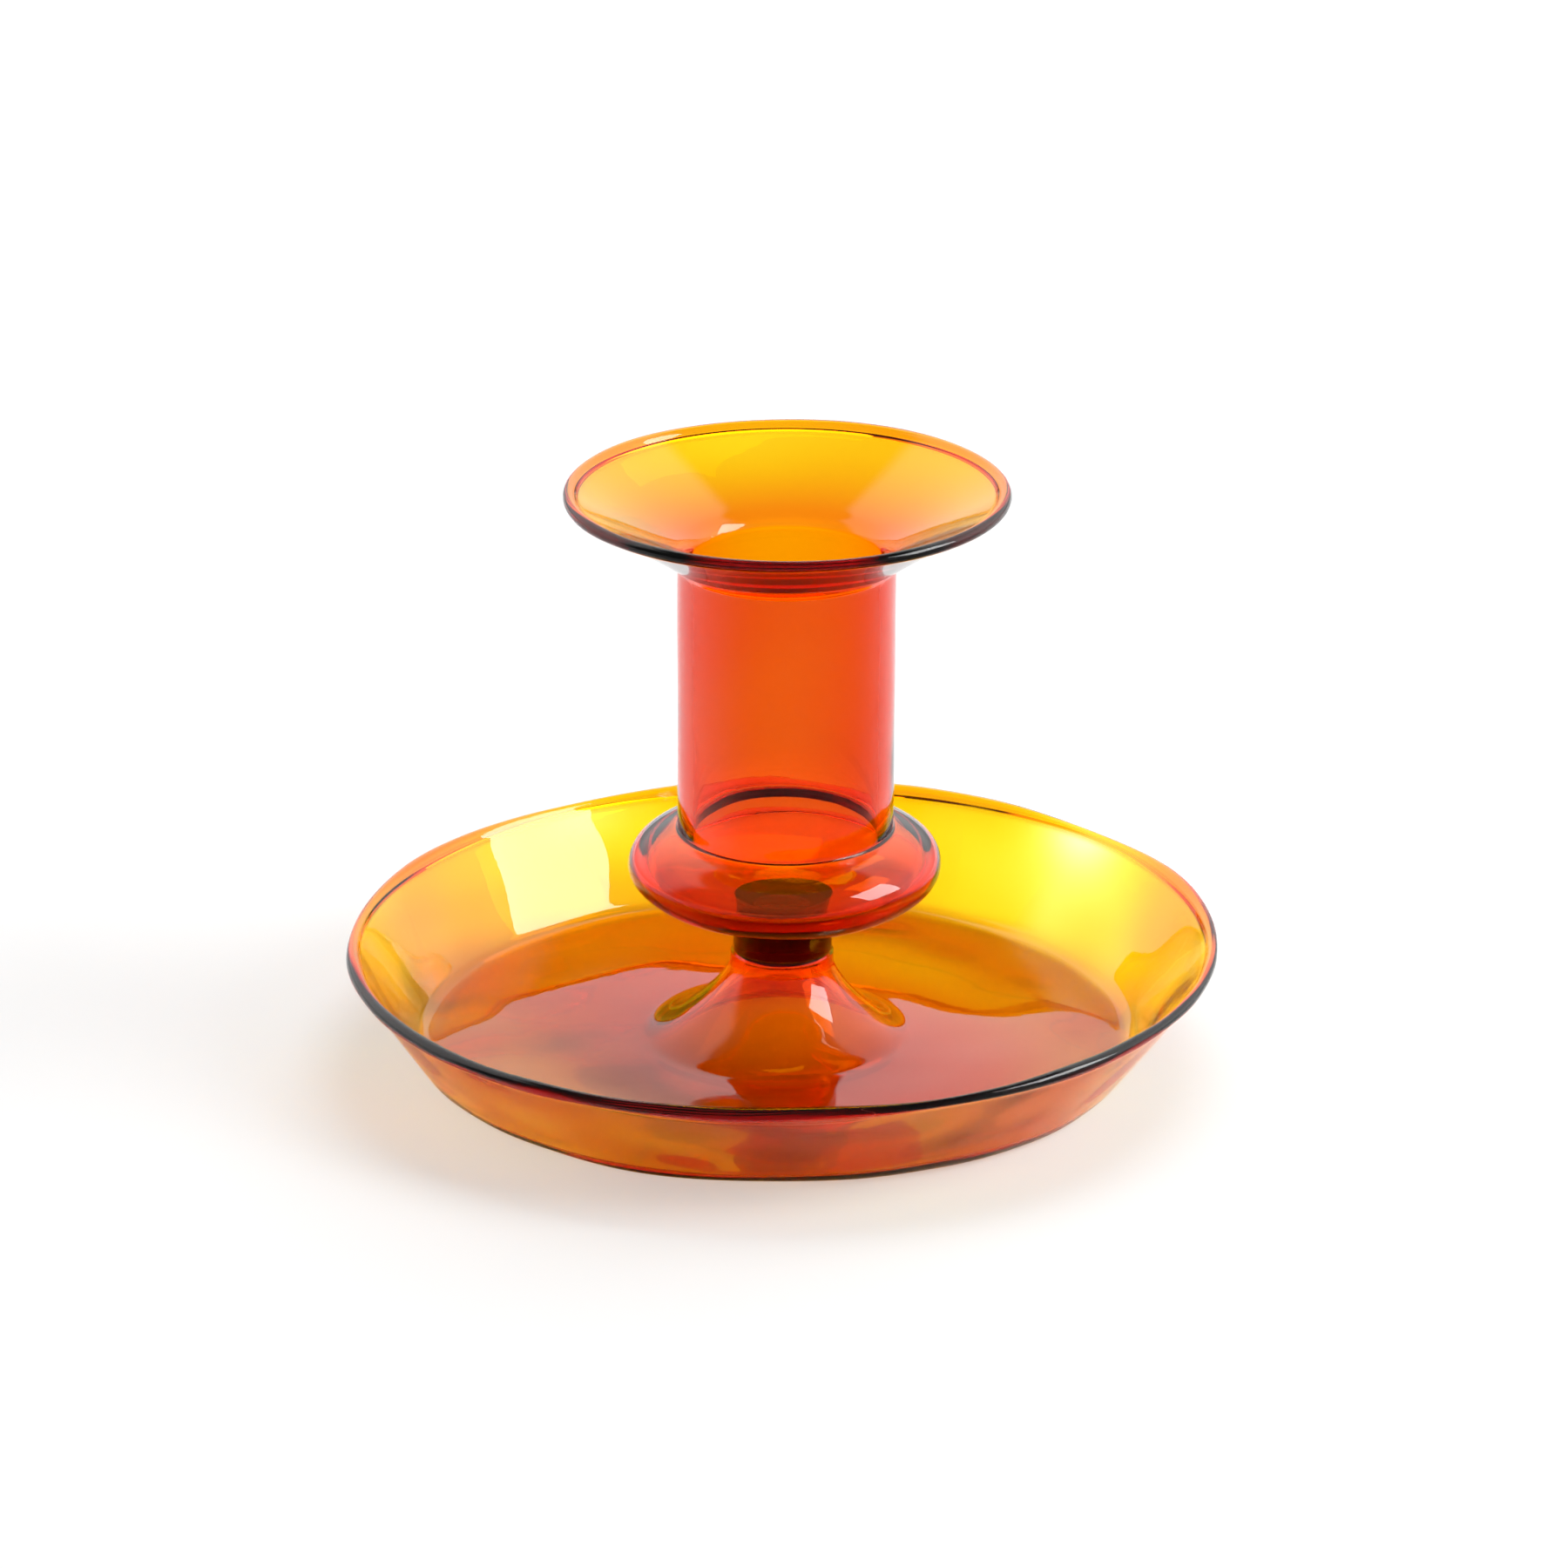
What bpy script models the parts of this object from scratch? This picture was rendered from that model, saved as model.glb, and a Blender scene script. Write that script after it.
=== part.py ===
"""Flameworked amber glass chamberstick: a candle cup on a short neck, in a wide saucer.

Every section is turned about +Z. The origin is the centre of the circle the saucer stands on.
Outlines are closed loops of (radius, height) points in the XZ plane, in metres.
"""

from math import acos, atan2, cos, degrees, pi, radians, sin, sqrt

import bmesh
import bpy
from mathutils import Matrix

MM = 0.001

# How finely the sections are turned and their round stretches divided.
SEGMENTS = 64
ARC_STEPS = 7
BEAD_STEPS = 8

# Left open between two sections where the real glass is welded.
GAP = 0.3 * MM

# Both rims end in a bead, where the flame has rounded the edge.
BEAD_RADIUS = 0.83 * MM

# Saucer
SAUCER_RADIUS = 55.0 * MM
SAUCER_HEIGHT = 14.3 * MM
FLOOR_THICKNESS = 1.3 * MM
SAUCER_WALL = 1.0 * MM
SAUCER_BASE_RADIUS = 47.3 * MM
BASE_CORNER_RADIUS = 4.0 * MM
FLOOR_FILLET_RADIUS = 2.8 * MM

# Hollow cone that rises from the saucer's floor
CONE_FOOT_RADIUS = 17.8 * MM
CONE_LIP_RADIUS = 6.5 * MM
CONE_LIP_HEIGHT = 12.5 * MM
CONE_WALL = 1.8 * MM

# The cone's side follows an ellipse's quarter with its cosine and sine raised to these powers,
# which gives it a short neck under the lip and then a flank that's almost straight.
NECK_POWER = 2.3
FLANK_POWER = 1.4

# Solid collar between the cone and the cup, with a plug that sits in the cone's mouth
COLLAR_RADIUS = 6.25 * MM
COLLAR_TOP = 17.2 * MM
COLLAR_EDGE = 0.4 * MM
PLUG_LENGTH = 1.0 * MM

# Candle socket
SOCKET_RADIUS = 13.6 * MM
BORE_RADIUS = 11.6 * MM
SOCKET_FOOT = 29.4 * MM
SOCKET_TOP = 64.2 * MM

# Hollow bulb under the socket: two quarter ellipses that share the bulb's widest circle
BULB_RADIUS = 19.7 * MM
BULB_WIDEST = 24.5 * MM
BULB_WALL = 2.0 * MM
BULB_UPPER_CENTRE = 9.5 * MM
BULB_LOWER_CENTRE = 1.3 * MM

# Drip pan: its inner face leaves the bore at a crease, turns over and runs out to the rim,
# and its outer face turns more sharply, so that the wall thins towards the rim.
PAN_RADIUS = 27.8 * MM
TOTAL_HEIGHT = 74.1 * MM
THROAT_HEIGHT = 65.1 * MM
THROAT_RADIUS = 4.4 * MM
THROAT_CREASE = 28.0
PAN_INNER_SLOPE = 27.5
PAN_OUTER_SLOPE = 31.3
ARMPIT_RADIUS = 0.8 * MM
PAN_RIM_WALL = 0.8 * MM

# Amber glass: its colour depends on how much of it the light crosses.
THIN_GLASS = (0.95, 0.36, 0.02)
TUBE_GLASS = (0.85, 0.13, 0.01)
DEEP_GLASS = (0.75, 0.08, 0.01)
RIM_GLASS = (0.10, 0.02, 0.01)
COLLAR_GLASS = (0.02, 0.002, 0.001)
GLASS_ROUGHNESS = 0.03
GLASS_IOR = 1.47

# Creases sharper than this stay sharp when a section is shaded smooth.
SHARP_ANGLE = radians(40.0)

# Turning leaves the points on the axis once per step: those this close become one.
MERGE_DISTANCE = 0.01 * MM


def arc(centre, radii, start, end, steps=ARC_STEPS):
    """Points along an elliptical arc, from the start angle to the end angle in degrees."""
    points = []
    for step in range(steps + 1):
        angle = radians(start + (end - start) * step / steps)
        points.append((centre[0] + radii[0] * cos(angle), centre[1] + radii[1] * sin(angle)))
    return points


def along(point, angle, distance):
    """The point a distance away from another, in a direction given in radians from +X."""
    return (point[0] + distance * cos(angle), point[1] + distance * sin(angle))


def material(name, colour):
    """A clear tinted glass."""
    glass = bpy.data.materials.new(name)
    glass.use_nodes = True
    shader = glass.node_tree.nodes["Principled BSDF"]
    shader.inputs["Base Color"].default_value = (*colour, 1.0)
    shader.inputs["Roughness"].default_value = GLASS_ROUGHNESS
    shader.inputs["Metallic"].default_value = 0.0
    shader.inputs["IOR"].default_value = GLASS_IOR
    glass.diffuse_color = (*colour, 1.0)
    return glass


def turned(name, outline, colour):
    """Turn an outline about Z into one closed solid.

    An outline that starts off the axis is closed back to its start. One that starts on the
    axis also ends on it, and is left open there.
    """
    mesh_builder = bmesh.new()
    verts = [mesh_builder.verts.new((radius, 0.0, height)) for radius, height in outline]
    pairs = list(zip(verts, verts[1:]))
    if outline[0][0] > 0.0:
        pairs.append((verts[-1], verts[0]))
    edges = [mesh_builder.edges.new(pair) for pair in pairs]
    bmesh.ops.spin(
        mesh_builder,
        geom=verts + edges,
        cent=(0.0, 0.0, 0.0),
        axis=(0.0, 0.0, 1.0),
        angle=2.0 * pi,
        steps=SEGMENTS,
        use_merge=True,
    )
    bmesh.ops.remove_doubles(mesh_builder, verts=mesh_builder.verts, dist=MERGE_DISTANCE)
    bmesh.ops.recalc_face_normals(mesh_builder, faces=mesh_builder.faces)
    mesh = bpy.data.meshes.new(name)
    mesh_builder.to_mesh(mesh)
    mesh_builder.free()
    mesh.shade_smooth()
    mesh.set_sharp_from_angle(angle=SHARP_ANGLE)
    mesh.materials.append(material(name + "_glass", colour))
    piece = bpy.data.objects.new(name, mesh)
    bpy.context.scene.collection.objects.link(piece)
    return piece


def bead_centre(outer_radius, top):
    """Where a rim's bead is centred, from the rim's outer radius and its top."""
    return (outer_radius - BEAD_RADIUS, top - BEAD_RADIUS)


def rim_end(centre, wall_angle, wall, side):
    """The end of a wall's face next to its bead: side is -1 for the lower face, 1 for the upper."""
    seam = along(centre, wall_angle, -(BEAD_RADIUS + GAP))
    return along(seam, wall_angle + side * pi / 2.0, wall / 2.0)


def bead(name, centre):
    """The round bead along a rim."""
    full_turn = arc(centre, (BEAD_RADIUS, BEAD_RADIUS), 0.0, 360.0, BEAD_STEPS)
    return turned(name, full_turn[:-1], RIM_GLASS)


def drip_pan():
    """The flared mouth of the cup, from the top of the socket to the seam behind its bead."""
    centre = bead_centre(PAN_RADIUS, TOTAL_HEIGHT)
    seam_height = SOCKET_TOP + GAP
    armpit = arc(
        (SOCKET_RADIUS + ARMPIT_RADIUS, seam_height),
        (ARMPIT_RADIUS, ARMPIT_RADIUS),
        180.0,
        90.0 + PAN_OUTER_SLOPE,
    )
    crease = radians(THROAT_CREASE)
    throat = arc(
        (BORE_RADIUS + THROAT_RADIUS * cos(crease), THROAT_HEIGHT - THROAT_RADIUS * sin(crease)),
        (THROAT_RADIUS, THROAT_RADIUS),
        180.0 - THROAT_CREASE,
        90.0 + PAN_INNER_SLOPE,
    )
    wall_angle = radians((PAN_INNER_SLOPE + PAN_OUTER_SLOPE) / 2.0)
    outline = armpit
    outline.append(rim_end(centre, wall_angle, PAN_RIM_WALL, -1.0))
    outline.append(rim_end(centre, wall_angle, PAN_RIM_WALL, 1.0))
    outline.extend(reversed(throat))
    outline.append((BORE_RADIUS, seam_height))
    return turned("drip_pan", outline, THIN_GLASS)


def socket_tube():
    """The straight tube that holds the candle."""
    outline = [
        (SOCKET_RADIUS, SOCKET_FOOT + GAP),
        (SOCKET_RADIUS, SOCKET_TOP),
        (BORE_RADIUS, SOCKET_TOP),
        (BORE_RADIUS, SOCKET_FOOT + GAP),
    ]
    return turned("socket_tube", outline, TUBE_GLASS)


def angle_at(radius, centre, width):
    """The angle in degrees at which an ellipse of this centre and half width meets a radius."""
    return degrees(acos((radius - centre) / width))


def bulb():
    """The hollow bulb: round outside, the same shape a wall thinner inside, closed beneath."""
    outer_upper = BULB_RADIUS - BULB_UPPER_CENTRE
    outer_lower = BULB_RADIUS - BULB_LOWER_CENTRE
    inner_upper = outer_upper - BULB_WALL
    inner_lower = outer_lower - BULB_WALL
    shoulder = (SOCKET_RADIUS - BULB_UPPER_CENTRE) / outer_upper
    rise = (SOCKET_FOOT - BULB_WIDEST) / sqrt(1.0 - shoulder * shoulder)
    drop = BULB_WIDEST - COLLAR_TOP - GAP
    outer_end = angle_at(SOCKET_RADIUS, BULB_UPPER_CENTRE, outer_upper)
    inner_end = angle_at(BORE_RADIUS, BULB_UPPER_CENTRE, inner_upper)
    outline = [(0.0, BULB_WIDEST - drop)]
    outline += arc((BULB_LOWER_CENTRE, BULB_WIDEST), (outer_lower, drop), -90.0, 0.0)
    outline += arc((BULB_UPPER_CENTRE, BULB_WIDEST), (outer_upper, rise), 0.0, outer_end)[1:]
    outline.append((BORE_RADIUS, SOCKET_FOOT))
    outline += arc(
        (BULB_UPPER_CENTRE, BULB_WIDEST), (inner_upper, rise - BULB_WALL), inner_end, 0.0
    )
    outline += arc(
        (BULB_LOWER_CENTRE, BULB_WIDEST), (inner_lower, drop - BULB_WALL), 0.0, -90.0
    )[1:]
    outline.append((0.0, BULB_WIDEST - drop + BULB_WALL))
    return turned("bulb", outline, DEEP_GLASS)


def neck_collar():
    """The solid collar, with its plug in the cone's mouth."""
    foot = CONE_LIP_HEIGHT + GAP
    plug_radius = CONE_LIP_RADIUS - CONE_WALL - GAP
    outline = [
        (0.0, foot - PLUG_LENGTH),
        (plug_radius, foot - PLUG_LENGTH),
        (plug_radius, foot),
        (COLLAR_RADIUS - COLLAR_EDGE, foot),
        (COLLAR_RADIUS, foot + COLLAR_EDGE),
        (COLLAR_RADIUS, COLLAR_TOP - COLLAR_EDGE),
        (COLLAR_RADIUS - COLLAR_EDGE, COLLAR_TOP),
        (0.0, COLLAR_TOP),
    ]
    return turned("neck_collar", outline, COLLAR_GLASS)


def flare(foot, lip):
    """The cone's side, from its foot to its lip, each a (radius, height)."""
    points = []
    for step in range(ARC_STEPS + 1):
        angle = pi / 2.0 * (1.0 - step / ARC_STEPS)
        radius = foot[0] - (foot[0] - lip[0]) * cos(angle) ** NECK_POWER
        height = lip[1] - (lip[1] - foot[1]) * sin(angle) ** FLANK_POWER
        points.append((radius, height))
    return points


def foot_cone():
    """The hollow trumpet foot, open beneath, with the collar's plug in its mouth."""
    joint = CONE_FOOT_RADIUS - GAP / 2.0
    outer = flare((joint, FLOOR_THICKNESS), (CONE_LIP_RADIUS, CONE_LIP_HEIGHT))
    inner = flare((joint, 0.0), (CONE_LIP_RADIUS - CONE_WALL, CONE_LIP_HEIGHT))
    return turned("foot_cone", outer + inner[::-1], TUBE_GLASS)


def saucer():
    """The tray: a flat floor around the cone and a wall that leans out to the bead."""
    centre = bead_centre(SAUCER_RADIUS, SAUCER_HEIGHT)
    joint = CONE_FOOT_RADIUS + GAP / 2.0
    corner = (SAUCER_BASE_RADIUS - BASE_CORNER_RADIUS, BASE_CORNER_RADIUS)
    wall_angle = atan2(centre[1] - corner[1], centre[0] - corner[0])
    turn = degrees(wall_angle) - 90.0

    # The inner fillet touches both the floor and the wall's inner face.
    inner_foot = along(corner, wall_angle - pi / 2.0, BASE_CORNER_RADIUS - SAUCER_WALL)
    fillet_height = FLOOR_THICKNESS + FLOOR_FILLET_RADIUS
    rise = (fillet_height - inner_foot[1]) * cos(wall_angle)
    fillet_radius = inner_foot[0] + (rise - FLOOR_FILLET_RADIUS) / sin(wall_angle)

    outline = [(joint, 0.0)]
    outline += arc(corner, (BASE_CORNER_RADIUS, BASE_CORNER_RADIUS), -90.0, turn)
    outline.append(rim_end(centre, wall_angle, SAUCER_WALL, -1.0))
    outline.append(rim_end(centre, wall_angle, SAUCER_WALL, 1.0))
    outline += arc(
        (fillet_radius, fillet_height), (FLOOR_FILLET_RADIUS, FLOOR_FILLET_RADIUS), turn, -90.0
    )
    outline.append((joint, FLOOR_THICKNESS))
    return turned("saucer", outline, THIN_GLASS)


def clear_scene():
    """Remove whatever the file opens with."""
    for old in list(bpy.data.objects):
        bpy.data.objects.remove(old)


def build():
    """Make every section and gather them under one empty at the origin."""
    clear_scene()
    sections = [
        drip_pan(),
        bead("drip_pan_bead", bead_centre(PAN_RADIUS, TOTAL_HEIGHT)),
        socket_tube(),
        bulb(),
        neck_collar(),
        foot_cone(),
        saucer(),
        bead("saucer_bead", bead_centre(SAUCER_RADIUS, SAUCER_HEIGHT)),
    ]
    candlestick = bpy.data.objects.new("candlestick", None)
    bpy.context.scene.collection.objects.link(candlestick)
    for section in sections:
        section.parent = candlestick
        section.matrix_parent_inverse = Matrix.Identity(4)


build()
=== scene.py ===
"""A lampworked amber glass chamberstick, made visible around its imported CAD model.

The glass is one continuous body cut into eight pieces, one for each CAD node. Its surface is a
single outline, turned about the cup's axis, softened by the flame and slightly uneven by hand.
Where two pieces are welded, their facing ends let light pass straight through, so the glass
looks whole from every side.
"""

from math import asin, cos, degrees, pi, radians, sin, sqrt

import bpy
import numpy as np
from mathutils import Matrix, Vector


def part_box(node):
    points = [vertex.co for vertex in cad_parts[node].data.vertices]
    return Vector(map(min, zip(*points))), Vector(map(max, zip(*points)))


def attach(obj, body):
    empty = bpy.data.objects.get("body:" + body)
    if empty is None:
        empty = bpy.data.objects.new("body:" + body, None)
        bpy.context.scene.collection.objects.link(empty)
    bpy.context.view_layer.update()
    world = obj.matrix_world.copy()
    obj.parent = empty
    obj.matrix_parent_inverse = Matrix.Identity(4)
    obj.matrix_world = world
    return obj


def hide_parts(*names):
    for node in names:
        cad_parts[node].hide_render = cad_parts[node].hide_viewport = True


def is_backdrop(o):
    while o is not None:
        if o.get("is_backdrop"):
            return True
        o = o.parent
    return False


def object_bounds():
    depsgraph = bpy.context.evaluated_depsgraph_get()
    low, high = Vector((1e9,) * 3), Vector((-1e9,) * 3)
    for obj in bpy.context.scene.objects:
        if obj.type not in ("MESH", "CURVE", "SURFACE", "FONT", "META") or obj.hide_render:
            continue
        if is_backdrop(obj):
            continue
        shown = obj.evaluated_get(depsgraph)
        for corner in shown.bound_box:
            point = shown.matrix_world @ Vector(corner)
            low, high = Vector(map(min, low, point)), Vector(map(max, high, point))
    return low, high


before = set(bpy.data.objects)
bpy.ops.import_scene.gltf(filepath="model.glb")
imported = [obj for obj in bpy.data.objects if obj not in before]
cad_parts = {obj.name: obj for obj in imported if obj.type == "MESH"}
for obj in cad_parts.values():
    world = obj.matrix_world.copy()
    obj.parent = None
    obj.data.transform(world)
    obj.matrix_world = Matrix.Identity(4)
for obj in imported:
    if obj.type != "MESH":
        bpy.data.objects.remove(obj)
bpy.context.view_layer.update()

MM = 0.001

# ---------------------------------------------------------------- sizes read off the CAD nodes

# Two of these sizes aren't the CAD's own: the socket ends lower, and the cone's foot is narrower.
SOCKET_TOP_DROP = 0.3 * MM
CONE_FOOT_TRIM = 0.6 * MM

SAUCER_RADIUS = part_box("saucer_bead")[1].x
SAUCER_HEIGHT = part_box("saucer_bead")[1].z
BEAD_RADIUS = (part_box("saucer_bead")[1].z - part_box("saucer_bead")[0].z) / 2.0
PAN_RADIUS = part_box("drip_pan_bead")[1].x
TOTAL_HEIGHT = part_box("drip_pan_bead")[1].z
SOCKET_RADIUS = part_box("socket_tube")[1].x
SOCKET_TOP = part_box("socket_tube")[1].z - SOCKET_TOP_DROP
BULB_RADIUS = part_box("bulb")[1].x
BULB_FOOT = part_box("bulb")[0].z
CREASE_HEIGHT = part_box("bulb")[1].z
COLLAR_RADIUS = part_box("neck_collar")[1].x
PLUG_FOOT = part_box("neck_collar")[0].z
CONE_LIP_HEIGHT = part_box("foot_cone")[1].z
CONE_FOOT_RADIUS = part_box("foot_cone")[1].x - CONE_FOOT_TRIM

# ----------------------------------------------------------- sizes of the walls and the curves

# Slopes, creases, bows and the lip's end are in degrees.
SOCKET_WALL = 2.0 * MM
BULB_WALL = 2.0 * MM
PAN_RIM_WALL = 0.85 * MM
SAUCER_WALL = 1.0 * MM
FLOOR_THICKNESS = 1.2 * MM
CONE_WALL = 2.2 * MM

BULB_WIDEST = 24.5 * MM
BULB_UPPER_CENTRE = 9.5 * MM
BULB_LOWER_CENTRE = 1.3 * MM
BULB_ROOF = 1.0 * MM

THROAT_HEIGHT = 65.1 * MM
THROAT_RADIUS = 4.4 * MM
THROAT_CREASE = 28.0
PAN_INNER_SLOPE = 27.5
PAN_OUTER_SLOPE = 31.3
PAN_INNER_BOW = 4.0
PAN_OUTER_BOW = -8.0
ARMPIT_RADIUS = 0.8 * MM

LIP_RADIUS = 6.55 * MM
LIP_EDGE = 0.35 * MM
LIP_END = -45.0

# How far the handles of the cone's curve reach from its two ends.
NECK_REACH = 3.6 * MM
FOOT_REACH = 4.0 * MM

SAUCER_BASE_RADIUS = 47.3 * MM
BASE_CORNER_RADIUS = 4.0 * MM
FLOOR_FILLET_RADIUS = 2.8 * MM

# The fillet's radius where a wall's face runs into the bead at its rim.
BEAD_FILLET = 1.2 * MM

# ------------------------------------------------------------------------------ mesh fineness

SEGMENTS = 256
FINE_STEP = 0.05 * MM
LONGEST_STEP = 0.7 * MM
LARGEST_TURN = radians(7.0)

# The fewest points on an arc and on a run between two welds, and the points on the cone's curve.
FEWEST_ARC_POINTS = 3
FEWEST_RUN_POINTS = 4
FLARE_POINTS = 200

# A ring narrower than this is a single point on the axis.
POLE_WIDTH = FINE_STEP / 10.0

# Keeps a normal without a length from being divided by zero.
TINY = 1e-12

# The flame rounds every corner by about this much.
SOFTENING = 0.28 * MM

# Two welded pieces face each other across this much air.
WELD_GAP = 0.002 * MM

# How far the socket's two welds lie above the bulb's crease and below the socket's top.
LOWER_WELD_RISE = 2.6 * MM
UPPER_WELD_DROP = 0.6 * MM

# How far behind a bead's fillet the bead is welded to its wall.
RIM_WELD_SETBACK = 0.3 * MM


def arc(centre, radii, start, end):
    """Points along an elliptical arc, from the start angle to the end angle in degrees."""
    length = abs(radians(end - start)) * max(radii)
    angles = np.radians(np.linspace(start, end, max(FEWEST_ARC_POINTS, int(length / FINE_STEP))))
    return np.column_stack(
        (centre[0] + radii[0] * np.cos(angles), centre[1] + radii[1] * np.sin(angles))
    )


def angle_at(radius, centre, width):
    """The angle in degrees at which an ellipse of this centre and half width meets a radius."""
    return np.degrees(np.arccos((radius - centre) / width))


def lengths_along(points):
    """How far along the line each point is."""
    steps = np.linalg.norm(np.diff(points, axis=0), axis=1)
    return np.concatenate(([0.0], np.cumsum(steps)))


def refined(points):
    """The same line with its points an even fine step apart."""
    along = lengths_along(points)
    places = np.linspace(0.0, along[-1], int(along[-1] / FINE_STEP))
    return np.column_stack([np.interp(places, along, points[:, k]) for k in (0, 1)])


def softened(points):
    """The line with its corners rounded, as a flame does. Its ends stay.

    Each pass adds half a fine step squared to the square of the blur's width.
    """
    passes = int(2.0 * (SOFTENING / FINE_STEP) ** 2)
    for _ in range(passes):
        points[1:-1] = points[:-2] / 4.0 + points[1:-1] / 2.0 + points[2:] / 4.0
    return points


def direction(start, end):
    """The angle in degrees of the line from one point to another."""
    return np.degrees(np.arctan2(end[1] - start[1], end[0] - start[0]))


def moved(point, angle, distance):
    """The point a distance away from another, in a direction given in degrees from +X."""
    return (point[0] + distance * cos(radians(angle)), point[1] + distance * sin(radians(angle)))


def bowed(start, end, turn):
    """Points along the arc from one point to another that turns left by this many degrees."""
    start, end = np.array(start), np.array(end)
    half = radians(turn) / 2.0
    across = end - start
    left = np.array((-across[1], across[0]))
    middle = (start + end) / 2.0 + left / (2.0 * np.tan(half))
    first = direction(middle, start)
    length = np.linalg.norm(start - middle)
    return arc(middle, (length, length), first, first + turn)


def bead_centre(outer_radius, top):
    """Where a rim's bead is centred, from the rim's outer radius and its top."""
    return (outer_radius - BEAD_RADIUS, top - BEAD_RADIUS)


def rim(centre, wall_angle, wall):
    """A wall's end from its upper face, round the bead and back to its lower face.

    A fillet joins each face of the wall to the bead.
    """
    reach = BEAD_RADIUS + BEAD_FILLET
    turn = 180.0 - degrees(asin((wall / 2.0 + BEAD_FILLET) / reach))
    fillet = (BEAD_FILLET, BEAD_FILLET)
    above = moved(centre, wall_angle + turn, reach)
    below = moved(centre, wall_angle - turn, reach)
    return np.concatenate(
        [
            arc(above, fillet, wall_angle - 90.0, wall_angle + turn - 180.0),
            arc(centre, (BEAD_RADIUS, BEAD_RADIUS), wall_angle + turn, wall_angle - turn),
            arc(below, fillet, wall_angle - turn + 180.0, wall_angle + 90.0),
        ]
    )


def flare(foot, lip):
    """The cone's side from its foot to its lip: a curve that leaves the foot flat, ends upright."""
    share = np.linspace(0.0, 1.0, FLARE_POINTS)[:, None]
    rest = 1.0 - share
    start = np.array(foot)
    start_handle = start - (FOOT_REACH, 0.0)
    end = np.array(lip)
    end_handle = end - (0.0, NECK_REACH)
    early = rest**3 * start + 3.0 * rest**2 * share * start_handle
    late = 3.0 * rest * share**2 * end_handle + share**3 * end
    return early + late


def bulb_halves(bore):
    """The bulb's outer line from the socket to the collar, and its inner line from the axis up.

    Each is two quarter ellipses that share the widest circle, cut where the tubes meet them.
    """
    drop = BULB_WIDEST - BULB_FOOT
    upper = BULB_RADIUS - BULB_UPPER_CENTRE
    lower = BULB_RADIUS - BULB_LOWER_CENTRE
    shoulder = (SOCKET_RADIUS - BULB_UPPER_CENTRE) / upper
    rise = (CREASE_HEIGHT - BULB_WIDEST) / sqrt(1.0 - shoulder * shoulder)
    upper_centre = (BULB_UPPER_CENTRE, BULB_WIDEST)
    lower_centre = (BULB_LOWER_CENTRE, BULB_WIDEST)
    outer_start = angle_at(SOCKET_RADIUS, BULB_UPPER_CENTRE, upper)
    outer_end = -angle_at(COLLAR_RADIUS, BULB_LOWER_CENTRE, lower)
    inner_end = angle_at(bore, BULB_UPPER_CENTRE, upper - BULB_WALL)
    outer = [
        arc(upper_centre, (upper, rise), outer_start, 0.0),
        arc(lower_centre, (lower, drop), 0.0, outer_end),
    ]
    inner = [
        [(0.0, BULB_FOOT + BULB_WALL)],
        arc(lower_centre, (lower - BULB_WALL, drop - BULB_WALL), -90.0, 0.0),
        arc(upper_centre, (upper - BULB_WALL, rise - BULB_ROOF), 0.0, inner_end),
    ]
    return np.concatenate(outer), np.concatenate(inner)


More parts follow.
